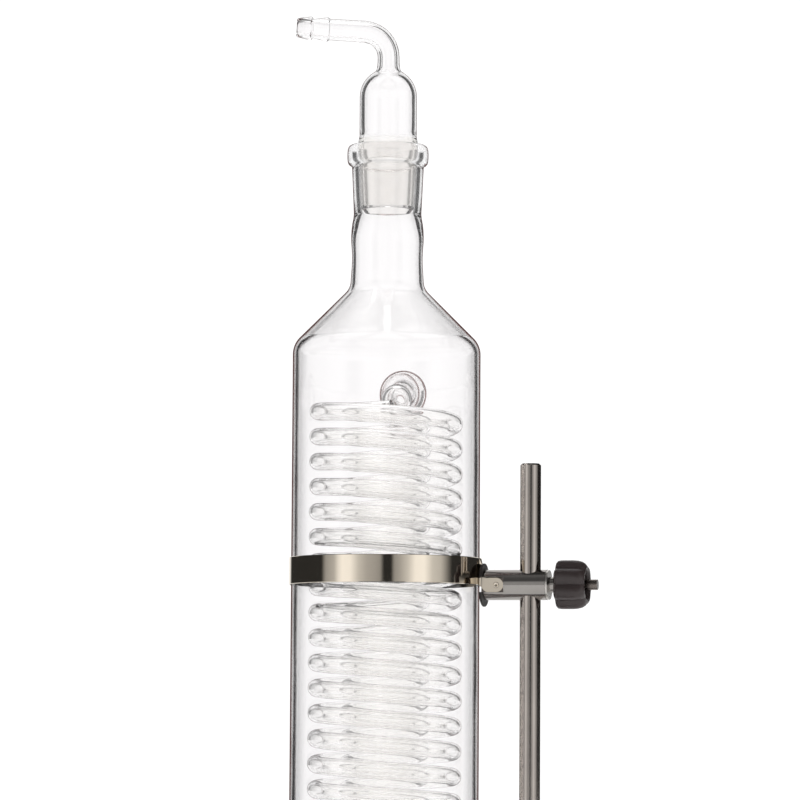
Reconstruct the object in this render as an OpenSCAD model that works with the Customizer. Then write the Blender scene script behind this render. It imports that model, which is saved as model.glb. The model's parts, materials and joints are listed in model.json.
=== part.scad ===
// Double-coil condenser with a hose adapter, held by a band clamp on a retort stand.
// Origin: centre of the base pad's underside, on the table. +Z is up. The vessel stands in front
// of the base's centre, and the rod to its right. Lengths are in millimetres.

/* [Stand] */
// Length of the base plate, left to right
base_l = 300; // [280:1:330]
// Depth of the base plate, front to back
base_w = 190; // [170:1:210]
// Thickness of the base plate
base_t = 10; // [8:0.5:14]
// Diameter of the stand rod
rod_d = 10; // [9.6:0.1:10.4]
// Height of the rod's top end above the table
rod_top_z = 609; // [605:1:640]
// Distance of the rod from the base's centre
rod_x = 90; // [80:1:100]

/* [Clamp] */
// Height of the band's middle above the table
band_z = 558; // [550:1:565]
// Height of the spring-steel band
band_h = 13; // [10:0.5:16]
// Height of the clamp arm's axis above the table
arm_z = 551.5; // [549:0.5:555]
// Angle by which the arm points forward of the vessel's side
arm_yaw = 14; // [10:1:30]
// Distance from the vessel's axis to the rod
arm_reach = 70.8; // [70:0.1:74]
// Outer diameter of the boss sleeve
sleeve_d = 14.5; // [14:0.1:16]
// Diameter over the knob's lobes
knob_d = 23.5; // [20:0.5:26]

/* [Jacket] */
// Outer diameter of the glass jacket
jacket_d = 90; // [88:1:92]
// Wall of the jacket
jacket_wall = 2.5; // [2:0.1:3]
// Height at which the jacket's upper corner begins
jacket_top_z = 662; // [658:1:664]
// Height at which the jacket's lower corner begins
jacket_low_z = 290; // [284:1:294]

/* [Coils] */
// Mean radius of the outer coil
outer_coil_r = 32.7; // [32:0.1:33.5]
// Mean radius of the inner coil
inner_coil_r = 17.75; // [17:0.1:18.5]
// Outer radius of the coil tube
tube_r = 4.1; // [3.8:0.1:4.2]
// Wall of the coil tube
tube_wall = 1; // [0.8:0.1:1.2]
// Rise of each turn
coil_pitch = 12; // [11.8:0.1:12.4]
// Whole turns in each coil
coil_turns = 26; // [20:1:26]
// Height of the outer coil's first turn at its left side
coil_top_z = 634.5; // [632:0.5:635]

/* [Joint and adapter] */
// Height of the socket's rim above the table
rim_z = 763; // [760:1:765]
// Length of the ground joint
joint_l = 32; // [28:1:34]
// Large diameter of the ground joint
joint_d_big = 29.2; // [29:0.1:29.4]
// Small diameter of the ground joint
joint_d_small = 26; // [25.9:0.1:26.1]
// Outer diameter of the adapter's dome
dome_d = 27.5; // [27:0.1:27.6]
// Height of the vent nozzle's axis above the table
nozzle_z = 818; // [816:1:820]
// Reach of the vent nozzle's tip from the vessel's axis
nozzle_reach = 43.3; // [40:0.1:46]

/* [Hidden] */
$fn = 64;

// Running clearance of parts that turn or slide on each other
run_gap = 0.05;
// A cut reaches past the face it opens by this much
past = 1;

// Stand
pad_t = 2;
pad_inset = 3;
base_corner_r = 12;
plate_top_z = pad_t + base_t;
stud_r = 4;
nut_recess_r = 11;
nut_recess_t = 7;
nut_t = 5;
nut_across_corners = 15;
washer_t = 1.5;
washer_r = 8;
rod_r = rod_d / 2;
rod_chamfer = 1;

// Vessel axis, one arm's reach from the rod
vessel_x = rod_x - arm_reach * cos(arm_yaw);
vessel_y = arm_reach * sin(arm_yaw);

// Places along the arm, counted from the vessel's axis
pad_disc_s = 47.9;
pad_disc_t = 1;
pad_disc_r = 10.3;
sleeve_s = pad_disc_s + pad_disc_t;
sleeve_end_s = 79.1;
sleeve_bore_r = 6.15;
bolt_body_r = sleeve_bore_r - run_gap;
bolt_body_s = 60;
bolt_body_end_s = sleeve_end_s - 0.5;
bolt_tongue_s = 47.2;
bolt_tongue_t = 1.6;
bolt_stud_r = 2.5;
bolt_end_s = 103.3;
bolt_slot_draw = 1;
jaw_slot_end_s = 59.2;
jaw_slot_h = 7.3;
tongue_h = 7;
tongue_end_s = 58;
rivet_s = 54.5;
rivet_r = 1.5;
rivet_head_r = 2.4;
rivet_head_t = 0.8;
washer_s = sleeve_end_s + 0.05;
thrust_washer_t = 1;
thrust_washer_r = 7;
hub_s = washer_s + thrust_washer_t;
hub_neck_r = 3.7;
knob_s = 83.7;
knob_t = 14.8;
knob_lobes = 7;
knob_scallop_r = 3.2;
knob_recess_r = 7;
knob_recess_t = 3;
hub_body_r = 5;
hub_end_s = knob_s + knob_t - knob_recess_t - 1;

// Band
jacket_r = jacket_d / 2;
liner_r = jacket_r + run_gap;
liner_t = 0.45;
band_r = liner_r + liner_t;
band_t = 0.7;

// Jacket ends
corner_r = 11;
neck_r = 17.5;
neck_fillet_r = 8.5;
shoulder_angle = 45;
arc_steps = 8;
corner_rise = corner_r * sin(shoulder_angle);
corner_in = corner_r * (1 - cos(shoulder_angle));
fillet_rise = neck_fillet_r * sin(shoulder_angle);
fillet_out = neck_fillet_r * (1 - cos(shoulder_angle));
shoulder_run = jacket_r - corner_in - neck_r - fillet_out;
shoulder_rise = shoulder_run * tan(shoulder_angle);
end_rise = corner_rise + shoulder_rise + fillet_rise;
neck_z = jacket_top_z + end_rise;
outlet_z = jacket_low_z - end_rise;

// Coolant ports, at the back of the jacket
port_z = 646.5;
port_x = 8.2;
low_port_z = 306.5;
port_pipe_r = 6.5;
port_pipe_wall = 1.5;
port_seal_r = 11.8;
port_seal_t = 4;
bulb_r = 7.5;
bulb_x = 5;
bulb_y = 25.5;
bulb_z = 642.5;
low_bulb_z = 310.5;
port_nozzle_y = 50;
port_nozzle_l = 31;

// Half the angle left open between two half turns of a coil
seam_angle = 0.04;

// Hose nozzles: bore and barbs
hose_bore_r = 3.4;
stem_r = 4.85;
barb_r = 5.7;
barb_l = 7.3;
waist_l = 3;

// Ground joint: bore radius at a height z
joint_low_z = rim_z - joint_l;
joint_slope = (joint_d_big - joint_d_small) / 2 / joint_l;
function bore_r(z) = joint_d_small / 2 + (z - joint_low_z) * joint_slope;
bead_t = 10;
bead_r = 18.7;
socket_wall = 2.1;
sleeve_skin = 0.3;
joint_sleeve_low_z = joint_low_z + 2;
collar_h = 3;
collar_r = 15;
cone_gap = sleeve_skin + 2 * run_gap;
cone_low_z = joint_low_z + 1;
dome_wall = 2;
dome_r = dome_d / 2;
dome_spring_z = rim_z + 23.7;
vent_pipe_r = 5.4;
vent_bend_r = 12.5;
vent_root_z = dome_spring_z + 10.3;

// Drip cone
cone_top_z = 240;
cone_end_z = cone_top_z - joint_l;
tip_r = 6;
tip_bore_r = 4;
tip_z = 185;

// Points of an arc about (cx, cz), from angle a0 to angle a1
function arc(cx, cz, r, a0, a1) =
  [for (i = [0 : arc_steps]) let (a = a0 + (a1 - a0) * i / arc_steps) [cx + r * cos(a), cz + r * sin(a)]];

// The jacket's right-hand outline, moved in by off, from its lower neck to its upper neck
function jacket_outline(off) = concat(
  arc(neck_r + neck_fillet_r, outlet_z, neck_fillet_r + off, 180, 180 - shoulder_angle),
  arc(jacket_r - corner_r, jacket_low_z, corner_r - off, -shoulder_angle, 0),
  arc(jacket_r - corner_r, jacket_top_z, corner_r - off, 0, shoulder_angle),
  arc(neck_r + neck_fillet_r, neck_z, neck_fillet_r + off, 180 + shoulder_angle, 180)
);

function reversed(list) = [for (i = [len(list) - 1 : -1 : 0]) list[i]];

// Puts a shape drawn about the vessel's axis in its place
module on_vessel() {
  translate([vessel_x, vessel_y, 0])
    children();
}

// Puts a shape drawn along +X in place on the clamp arm
module on_arm() {
  translate([vessel_x, vessel_y, arm_z])
    rotate([0, 0, -arm_yaw])
      children();
}

// A round bar along the arm from s0 to s1
module arm_bar(s0, s1, r, r_end = undef) {
  translate([s0, 0, 0])
    rotate([0, 90, 0])
      cylinder(h = s1 - s0, r1 = r, r2 = is_undef(r_end) ? r : r_end);
}

// A box centred on the arm's axis from s0 to s1
module arm_box(s0, s1, w, h) {
  translate([s0, -w / 2, -h / 2])
    cube([s1 - s0, w, h]);
}

// A plate with rounded corners, lying at height z
module rounded_plate(l, w, r, z, t) {
  translate([0, 0, z])
    linear_extrude(t)
      union() {
        square([l - 2 * r, w], center = true);
        square([l, w - 2 * r], center = true);
        for (x = [-1, 1], y = [-1, 1])
          translate([x * (l / 2 - r), y * (w / 2 - r)])
            circle(r = r);
      }
}

// A pipe standing on z = 0 with two hose barbs at its top end
module barbed_pipe(l, r) {
  barb_2_z = l - barb_l;
  barb_1_z = barb_2_z - waist_l - barb_l;
  difference() {
    union() {
      cylinder(h = barb_1_z, r = r);
      translate([0, 0, barb_1_z])
        cylinder(h = barb_l, r1 = barb_r, r2 = stem_r);
      translate([0, 0, barb_1_z + barb_l])
        cylinder(h = waist_l, r = stem_r);
      translate([0, 0, barb_2_z])
        cylinder(h = barb_l, r1 = barb_r, r2 = stem_r);
    }
    translate([0, 0, -past])
      cylinder(h = l + 2 * past, r = hose_bore_r);
  }
}

// Stand

module base_pad() {
  color([0.16, 0.16, 0.17])
    difference() {
      rounded_plate(base_l - 2 * pad_inset, base_w - 2 * pad_inset, base_corner_r - pad_inset, 0, pad_t);
      translate([rod_x, 0, -past])
        cylinder(h = pad_t + 2 * past, r = nut_recess_r);
    }
}

module base_plate() {
  color([0.28, 0.29, 0.31])
    difference() {
      rounded_plate(base_l, base_w, base_corner_r, pad_t, base_t);
      translate([rod_x, 0, pad_t - past])
        cylinder(h = nut_recess_t + past, r = nut_recess_r);
      translate([rod_x, 0, pad_t])
        cylinder(h = base_t + past, r = stud_r + run_gap);
    }
}

module stand_rod() {
  color([0.55, 0.52, 0.49])
    translate([rod_x, 0, 0])
      union() {
        translate([0, 0, pad_t])
          cylinder(h = base_t, r = stud_r);
        translate([0, 0, plate_top_z + run_gap])
          cylinder(h = rod_top_z - rod_chamfer - plate_top_z - run_gap, r = rod_r);
        translate([0, 0, plate_top_z - run_gap])
          cylinder(h = 4 * run_gap, r = stud_r);
        translate([0, 0, rod_top_z - rod_chamfer])
          cylinder(h = rod_chamfer, r1 = rod_r, r2 = rod_r - rod_chamfer);
      }
}

module rod_washer() {
  color([0.7, 0.7, 0.7])
    translate([rod_x, 0, pad_t + nut_recess_t - run_gap - washer_t])
      difference() {
        cylinder(h = washer_t, r = washer_r);
        translate([0, 0, -past])
          cylinder(h = washer_t + 2 * past, r = stud_r);
      }
}

module rod_nut() {
  color([0.7, 0.7, 0.7])
    translate([rod_x, 0, pad_t + nut_recess_t - run_gap - washer_t - nut_t])
      difference() {
        cylinder(h = nut_t, d = nut_across_corners, $fn = 6);
        translate([0, 0, -past])
          cylinder(h = nut_t + 2 * past, r = stud_r);
      }
}

// Clamp

// The rod's own hole across the arm, lengthened by draw
module rod_hole(r, draw) {
  translate([arm_reach, 0, -sleeve_d])
    union() {
      cylinder(h = 2 * sleeve_d, r = r);
      translate([draw, 0, 0])
        cylinder(h = 2 * sleeve_d, r = r);
      translate([0, -r, 0])
        cube([draw, 2 * r, 2 * sleeve_d]);
    }
}

module boss_sleeve() {
  color([0.6, 0.58, 0.56])
    on_arm()
      difference() {
        arm_bar(sleeve_s, sleeve_end_s, sleeve_d / 2);
        arm_bar(sleeve_s - past, sleeve_end_s + past, sleeve_bore_r);
        arm_box(sleeve_s - past, jaw_slot_end_s, 2 * sleeve_d, jaw_slot_h);
        translate([arm_reach, 0, -sleeve_d])
          cylinder(h = 2 * sleeve_d, r = rod_r + run_gap);
      }
}

module draw_bolt() {
  color([0.66, 0.64, 0.62])
    on_arm()
      difference() {
        union() {
          arm_bar(bolt_body_s, bolt_body_end_s, bolt_body_r);
          arm_box(bolt_tongue_s, bolt_body_s + past, bolt_tongue_t, tongue_h);
          arm_bar(bolt_body_end_s - past, bolt_end_s, bolt_stud_r);
        }
        rod_hole(rod_r + 2 * run_gap, bolt_slot_draw);
        translate([rivet_s, sleeve_d, 0])
          rotate([90, 0, 0])
            cylinder(h = 2 * sleeve_d, r = rivet_r);
      }
}

module pad_disc() {
  color([0.08, 0.08, 0.08])
    on_arm()
      difference() {
        arm_bar(pad_disc_s, pad_disc_s + pad_disc_t, pad_disc_r);
        arm_box(pad_disc_s - past, pad_disc_s + 2 * pad_disc_t, bolt_tongue_t + 2 * band_t, tongue_h);
      }
}

// One end of the band, folded out beside the bolt's tongue; side is -1 or +1
module band_tongue(side) {
  y_out = side > 0 ? bolt_tongue_t / 2 + band_t : -bolt_tongue_t / 2;
  translate([0, y_out, 0])
    rotate([90, 0, 0])
      linear_extrude(band_t)
        difference() {
          union() {
            translate([liner_r + liner_t + band_t / 2, -tongue_h / 2])
              square([tongue_end_s - tongue_h / 2 - liner_r - liner_t - band_t / 2, tongue_h]);
            translate([tongue_end_s - tongue_h / 2, 0])
              circle(r = tongue_h / 2);
          }
          translate([rivet_s, 0])
            circle(r = rivet_r);
        }
}

module clamp_band() {
  color([0.75, 0.68, 0.58])
    on_arm()
      union() {
        difference() {
          translate([0, 0, band_z - arm_z - band_h / 2])
            cylinder(h = band_h, r = band_r + band_t, $fn = 128);
          translate([0, 0, band_z - arm_z - band_h / 2 - past])
            cylinder(h = band_h + 2 * past, r = band_r, $fn = 128);
          arm_box(0, jacket_d, bolt_tongue_t, 4 * band_h);
        }
        for (side = [-1, 1])
          band_tongue(side);
      }
}

module band_liner() {
  color([0.1, 0.1, 0.1])
    on_arm()
      difference() {
        translate([0, 0, band_z - arm_z - band_h / 2])
          cylinder(h = band_h, r = liner_r + liner_t, $fn = 128);
        translate([0, 0, band_z - arm_z - band_h / 2 - past])
          cylinder(h = band_h + 2 * past, r = liner_r, $fn = 128);
        arm_box(0, jacket_d, bolt_tongue_t, 4 * band_h);
      }
}

module band_rivet() {
  half = bolt_tongue_t / 2 + band_t;
  color([0.7, 0.68, 0.64])
    on_arm()
      translate([rivet_s, half + rivet_head_t, 0])
        rotate([90, 0, 0])
          union() {
            cylinder(h = rivet_head_t, r1 = rivet_r, r2 = rivet_head_r);
            cylinder(h = 2 * (half + rivet_head_t), r = rivet_r);
            translate([0, 0, 2 * half + rivet_head_t])
              cylinder(h = rivet_head_t, r1 = rivet_head_r, r2 = rivet_r);
          }
}

module thrust_washer() {
  color([0.7, 0.7, 0.7])
    on_arm()
      difference() {
        arm_bar(washer_s, washer_s + thrust_washer_t, thrust_washer_r);
        arm_bar(washer_s - past, hub_s + past, bolt_stud_r + run_gap);
      }
}

module knob_hub() {
  color([0.62, 0.6, 0.57])
    on_arm()
      difference() {
        union() {
          arm_bar(hub_s, knob_s, hub_neck_r);
          arm_bar(knob_s, hub_end_s, hub_body_r);
        }
        arm_bar(hub_s - past, hub_end_s + past, bolt_stud_r + run_gap);
      }
}

module knob() {
  color([0.12, 0.1, 0.1])
    on_arm()
      translate([knob_s, 0, 0])
        rotate([0, 90, 0])
          difference() {
            cylinder(h = knob_t, r = knob_d / 2);
            for (i = [0 : knob_lobes - 1])
              rotate([0, 0, (i + 0.5) * 360 / knob_lobes])
                translate([knob_d / 2 + knob_scallop_r / 2, 0, -past])
                  cylinder(h = knob_t + 2 * past, r = knob_scallop_r);
            translate([0, 0, knob_t - knob_recess_t])
              cylinder(h = knob_recess_t + past, r = knob_recess_r);
            translate([0, 0, -past])
              cylinder(h = hub_end_s - knob_s + past, r = hub_body_r);
            translate([0, 0, -past])
              cylinder(h = knob_t + past, r = bolt_stud_r + 2 * run_gap);
          }
}

// Glass

// The round hole that a coolant port's pipe goes out through
module port_hole(x, z) {
  translate([x, 0, z])
    rotate([-90, 0, 0])
      cylinder(h = jacket_d, r = port_pipe_r);
}

module jacket() {
  color([0.85, 0.87, 0.88, 0.4])
    on_vessel()
      difference() {
        rotate_extrude()
          polygon(concat(jacket_outline(0), reversed(jacket_outline(jacket_wall))));
        port_hole(port_x, port_z);
        port_hole(port_x, low_port_z);
      }
}

module neck_socket() {
  neck_in = neck_r - jacket_wall;
  color([0.85, 0.87, 0.88, 0.4])
    on_vessel()
      rotate_extrude()
        polygon([
          [neck_in, neck_z],
          [neck_r, neck_z],
          [neck_r - 0.75, neck_z + 10],
          [neck_r - 0.5, neck_z + 21],
          [neck_r - 1.1, neck_z + 27],
          [bore_r(joint_low_z) + socket_wall, joint_low_z],
          [bore_r(rim_z - bead_t) + socket_wall, rim_z - bead_t],
          [bead_r - 0.8, rim_z - bead_t + 1],
          [bead_r, rim_z - bead_t + 3],
          [bead_r, rim_z - 3],
          [bead_r - 0.8, rim_z - 1],
          [bead_r - 2, rim_z],
          [bore_r(rim_z), rim_z],
          [bore_r(joint_low_z), joint_low_z],
          [neck_in - 0.7, neck_z + 21],
          [neck_in - 0.7, neck_z + 10]
        ]);
}

module drip_cone() {
  neck_in = neck_r - jacket_wall;
  cone_in = joint_d_small / 2 - socket_wall;
  color([0.85, 0.87, 0.88, 0.4])
    on_vessel()
      difference() {
        rotate_extrude()
          polygon([
            [neck_in, outlet_z],
            [neck_r, outlet_z],
            [joint_d_big / 2 + 1.2, outlet_z - 7],
            [joint_d_big / 2, cone_top_z],
            [joint_d_small / 2, cone_end_z],
            [tip_r, cone_end_z - 7],
            [tip_r, tip_z],
            [tip_bore_r, tip_z],
            [tip_bore_r, cone_end_z - 5.5],
            [cone_in, cone_end_z + 1.5],
            [cone_in + 1.2, outlet_z - 8]
          ]);
        translate([-2 * tip_r, -2 * tip_r, tip_z])
          rotate([0, 35, 0])
            translate([-4 * tip_r, 0, -4 * tip_r])
              cube([8 * tip_r, 4 * tip_r, 4 * tip_r]);
      }
}

// Part of a turn of coil tube in a plane tilted so that its left and right ends lie half a turn's
// rise apart; side is -1 for a front half and +1 for a back half. A hairline seam parts the turns.
module coil_arc(coil_r, z, side, from, sweep) {
  tilt = asin(coil_pitch / 4 / coil_r);
  translate([0, 0, z])
    rotate([0, -side * tilt, 0])
      rotate([0, 0, from + seam_angle])
        rotate_extrude(angle = sweep - 2 * seam_angle, $fn = 32)
          translate([coil_r, 0])
            difference() {
              circle(r = tube_r, $fn = 24);
              circle(r = tube_r - tube_wall, $fn = 24);
            }
}

// A left-handed coil that starts and ends at the back, in its manifolds
module coil(coil_r, lead) {
  quarter = coil_pitch / 4;
  on_vessel()
    union() {
      coil_arc(coil_r, coil_top_z + quarter, 1, lead, 180 - lead);
      for (k = [0 : coil_turns])
        coil_arc(coil_r, coil_top_z - quarter - k * coil_pitch, -1, 180, 180);
      for (k = [0 : coil_turns - 1])
        coil_arc(coil_r, coil_top_z - 3 * quarter - k * coil_pitch, 1, 0, 180);
      coil_arc(coil_r, coil_top_z - 3 * quarter - coil_turns * coil_pitch, 1, 0, lead);
    }
}

module outer_coil() {
  color([0.85, 0.86, 0.88, 0.5])
    coil(outer_coil_r, 80);
}

module inner_coil() {
  color([0.85, 0.86, 0.88, 0.5])
    coil(inner_coil_r, 78);
}

// A bulb that joins both coils, with a pipe out through the jacket's back and its fused seal
module manifold(bulb_height, pipe_z) {
  on_vessel()
    difference() {
      union() {
        translate([bulb_x, bulb_y, bulb_height])
          sphere(r = bulb_r);
        translate([port_x, bulb_y, pipe_z])
          rotate([-90, 0, 0])
            cylinder(h = port_nozzle_y - bulb_y, r = port_pipe_r - run_gap);
      }
      translate([bulb_x, bulb_y, bulb_height])
        sphere(r = bulb_r - port_pipe_wall);
      translate([port_x, bulb_y, pipe_z])
        rotate([-90, 0, 0])
          cylinder(h = jacket_d, r = port_pipe_r - port_pipe_wall);
    }
}

module upper_manifold() {
  color([0.85, 0.86, 0.88, 0.5])
    manifold(bulb_z, port_z);
}

module lower_manifold() {
  color([0.85, 0.86, 0.88, 0.5])
    manifold(low_bulb_z, low_port_z);
}

// The flared seal outside the jacket, and the hose nozzle that points straight back from it
module port_nozzle(z) {
  on_vessel()
    union() {
      translate([port_x, port_nozzle_y, z])
        rotate([-90, 0, 0])
          barbed_pipe(port_nozzle_l, vent_pipe_r);
      difference() {
        translate([port_x, port_nozzle_y - 3 * port_seal_t, z])
          rotate([-90, 0, 0])
            cylinder(h = 3 * port_seal_t, r1 = port_seal_r, r2 = port_pipe_r);
        translate([port_x, 0, z])
          rotate([-90, 0, 0])
            cylinder(h = port_nozzle_y, r = port_pipe_r);
        translate([0, 0, z - 2 * port_seal_r])
          cylinder(h = 4 * port_seal_r, r = jacket_r + run_gap, $fn = 128);
      }
      translate([port_x, port_nozzle_y - port_seal_t / 4, z])
        rotate([-90, 0, 0])
          difference() {
            cylinder(h = port_seal_t, r1 = port_pipe_r + 0.6, r2 = vent_pipe_r);
            translate([0, 0, -past])
              cylinder(h = port_seal_t + 2 * past, r = hose_bore_r);
            translate([0, 0, -past])
              cylinder(h = port_seal_t / 4 + past, r = port_pipe_r);
          }
    }
}

module outlet_nozzle() {
  color([0.85, 0.86, 0.88, 0.5])
    port_nozzle(port_z);
}

module inlet_nozzle() {
  color([0.85, 0.86, 0.88, 0.5])
    port_nozzle(low_port_z);
}

// A thin plastic lining in the ground joint, with a collar that stands on the socket's rim
module joint_sleeve() {
  out_gap = run_gap;
  in_gap = run_gap + sleeve_skin;
  color([0.92, 0.92, 0.92, 0.8])
    on_vessel()
      rotate_extrude()
        polygon([
          [bore_r(joint_sleeve_low_z) - in_gap, joint_sleeve_low_z],
          [bore_r(joint_sleeve_low_z) - out_gap, joint_sleeve_low_z],
          [bore_r(rim_z) - out_gap, rim_z],
          [bore_r(rim_z) - out_gap, rim_z + run_gap],
          [collar_r, rim_z + run_gap],
          [collar_r - 0.9, rim_z + collar_h],
          [bore_r(rim_z) - in_gap, rim_z + collar_h],
          [bore_r(rim_z) - in_gap, rim_z]
        ]);
}

module adapter_dome() {
  color([0.85, 0.87, 0.88, 0.4])
    on_vessel()
      difference() {
        union() {
          rotate_extrude()
            polygon([
              [bore_r(cone_low_z) - cone_gap - dome_wall, cone_low_z],
              [bore_r(cone_low_z) - cone_gap, cone_low_z],
              [bore_r(rim_z) - cone_gap, rim_z],
              [bore_r(rim_z) - cone_gap, rim_z + collar_h],
              [dome_r, rim_z + collar_h + 2],
              [dome_r, dome_spring_z],
              [dome_r - dome_wall, dome_spring_z],
              [bore_r(rim_z) - cone_gap - dome_wall, rim_z]
            ]);
          translate([0, 0, dome_spring_z])
            difference() {
              sphere(r = dome_r);
              sphere(r = dome_r - dome_wall);
              translate([0, 0, -dome_r])
                cube([2 * dome_r, 2 * dome_r, 2 * dome_r], center = true);
            }
        }
        translate([0, 0, dome_spring_z])
          cylinder(h = 2 * dome_r, r = vent_pipe_r);
      }
}

module vent_nozzle() {
  bend_z = nozzle_z - vent_bend_r;
  color([0.85, 0.87, 0.88, 0.4])
    on_vessel()
      union() {
        translate([0, 0, vent_root_z])
          difference() {
            cylinder(h = bend_z - vent_root_z, r = vent_pipe_r);
            translate([0, 0, -past])
              cylinder(h = bend_z - vent_root_z + 2 * past, r = hose_bore_r);
          }
        difference() {
          translate([0, 0, dome_spring_z + dome_r - 2])
            cylinder(h = 4, r1 = vent_pipe_r + 3, r2 = vent_pipe_r);
          translate([0, 0, dome_spring_z])
            sphere(r = dome_r);
          translate([0, 0, dome_spring_z])
            cylinder(h = 2 * dome_r, r = vent_pipe_r - run_gap);
        }
        translate([-vent_bend_r, 0, bend_z])
          rotate([90, 0, 0])
            rotate_extrude(angle = 90)
              translate([vent_bend_r, 0])
                difference() {
                  circle(r = vent_pipe_r);
                  circle(r = hose_bore_r);
                }
        translate([-vent_bend_r, 0, nozzle_z])
          rotate([0, -90, 0])
            barbed_pipe(nozzle_reach - vent_bend_r, vent_pipe_r);
      }
}

base_pad();
base_plate();
stand_rod();
rod_washer();
rod_nut();
boss_sleeve();
draw_bolt();
pad_disc();
clamp_band();
band_liner();
band_rivet();
thrust_washer();
knob_hub();
knob();
jacket();
neck_socket();
drip_cone();
outer_coil();
inner_coil();
upper_manifold();
lower_manifold();
outlet_nozzle();
inlet_nozzle();
joint_sleeve();
adapter_dome();
vent_nozzle();
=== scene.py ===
"""Looks of the double-coil condenser: blown glass, ground joints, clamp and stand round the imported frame."""
import json
import math

import bpy
import bmesh
from mathutils import Matrix, Vector, noise


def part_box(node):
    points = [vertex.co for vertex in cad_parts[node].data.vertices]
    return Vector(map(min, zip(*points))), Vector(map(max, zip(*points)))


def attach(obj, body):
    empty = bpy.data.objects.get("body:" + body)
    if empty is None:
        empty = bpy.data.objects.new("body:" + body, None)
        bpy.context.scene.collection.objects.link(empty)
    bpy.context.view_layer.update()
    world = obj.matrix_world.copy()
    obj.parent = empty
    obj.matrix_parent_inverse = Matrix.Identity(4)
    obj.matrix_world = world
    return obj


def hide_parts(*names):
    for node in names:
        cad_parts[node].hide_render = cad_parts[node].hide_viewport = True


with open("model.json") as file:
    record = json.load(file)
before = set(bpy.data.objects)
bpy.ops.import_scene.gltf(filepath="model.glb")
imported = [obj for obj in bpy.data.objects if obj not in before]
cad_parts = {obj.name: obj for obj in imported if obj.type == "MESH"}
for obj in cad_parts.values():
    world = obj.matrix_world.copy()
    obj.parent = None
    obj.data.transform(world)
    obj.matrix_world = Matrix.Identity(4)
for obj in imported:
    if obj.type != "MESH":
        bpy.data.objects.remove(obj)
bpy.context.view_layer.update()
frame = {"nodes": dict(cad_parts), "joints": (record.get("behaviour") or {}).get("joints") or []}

MM = 0.001
TURN = 2 * math.pi


# ---------- places, all from the frame ----------

JACKET_LO, JACKET_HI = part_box("jacket")
COIL_LO, COIL_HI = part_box("outer_coil")
INNER_LO, INNER_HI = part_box("inner_coil")
VENT_LO, VENT_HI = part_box("vent_nozzle")
PORT_LO, PORT_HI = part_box("outlet_nozzle")
LOW_PORT_LO, LOW_PORT_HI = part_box("inlet_nozzle")
BAND_LO, BAND_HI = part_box("band_liner")
ROD_LO, ROD_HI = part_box("stand_rod")
PLATE_LO, PLATE_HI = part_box("base_plate")

VESSEL = Vector(((JACKET_LO.x + JACKET_HI.x) / 2, (JACKET_LO.y + JACKET_HI.y) / 2, 0))
ROD = Vector(((ROD_LO.x + ROD_HI.x) / 2, (ROD_LO.y + ROD_HI.y) / 2, 0))
JACKET_R = (JACKET_HI.x - JACKET_LO.x) / 2
WALL = 1.7 * MM
RIM_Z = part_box("neck_socket")[1].z
NECK_Z = JACKET_HI.z
OUTLET_Z = JACKET_LO.z
TIP_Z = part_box("drip_cone")[0].z
JOINTS = {j["name"]: j for j in frame["joints"]}
ARM = Vector(JOINTS["knob_turn"]["axis"])
ARM_Z = JOINTS["knob_turn"]["pos_m"][2]
ARM_YAW = math.atan2(ARM.y, ARM.x)
ARM_FRAME = Matrix.Translation((VESSEL.x, VESSEL.y, ARM_Z)) @ Matrix.Rotation(ARM_YAW, 4, "Z")


# ---------- camera ----------

SENSOR = 36.0
CAMERA_DISTANCE = 2.0
CAMERA_Z = 0.478
CAMERA_OFFSET_X = 6.5 * MM
FIELD_AT_VESSEL = 383.2 * MM
PITCH_UP = math.radians(4.64)
ROLL = math.radians(0.35)


def make_camera():
    data = bpy.data.cameras.new("camera")
    data.sensor_width = SENSOR
    data.lens = SENSOR * CAMERA_DISTANCE / math.cos(PITCH_UP) / FIELD_AT_VESSEL
    data.clip_end = 60.0
    camera = bpy.data.objects.new("camera", data)
    camera.location = (VESSEL.x + CAMERA_OFFSET_X, VESSEL.y - CAMERA_DISTANCE, CAMERA_Z)
    aim = Matrix.Rotation(math.radians(90) + PITCH_UP, 4, "X") @ Matrix.Rotation(ROLL, 4, "Z")
    camera.rotation_euler = aim.to_euler()
    bpy.context.scene.collection.objects.link(camera)
    bpy.context.scene.camera = camera


make_camera()


# ---------- node helpers ----------

def new_material(name):
    material = bpy.data.materials.new(name)
    material.use_nodes = True
    tree = material.node_tree
    tree.nodes.clear()
    return material, tree


def add(tree, kind, **values):
    """Adds a shader node; keys name its properties, and a dict under 'inputs' sets its sockets."""
    node = tree.nodes.new(kind)
    for key, value in values.items():
        if key == "inputs":
            for socket, number in value.items():
                node.inputs[socket].default_value = number
        else:
            setattr(node, key, value)
    return node


def ramp(tree, stops):
    node = tree.nodes.new("ShaderNodeValToRGB")
    elements = node.color_ramp.elements
    while len(elements) > 1:
        elements.remove(elements[-1])
    elements[0].position = stops[0][0]
    elements[0].color = stops[0][1]
    for place, colour in stops[1:]:
        elements.new(place).color = colour
    return node


def grey(value, alpha=1.0):
    return (value, value, value, alpha)


def object_noise(tree, scale, detail=3.0, stretch=(1, 1, 1)):
    coords = add(tree, "ShaderNodeTexCoord")
    mapping = add(tree, "ShaderNodeMapping")
    mapping.inputs["Scale"].default_value = stretch
    texture = add(tree, "ShaderNodeTexNoise", inputs={"Scale": scale, "Detail": detail})
    tree.links.new(coords.outputs["Object"], mapping.inputs["Vector"])
    tree.links.new(mapping.outputs["Vector"], texture.inputs["Vector"])
    return texture


def bump_from(tree, texture, strength, distance):
    bump = add(tree, "ShaderNodeBump", inputs={"Strength": strength, "Distance": distance})
    tree.links.new(texture.outputs["Fac"], bump.inputs["Height"])
    return bump


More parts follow.
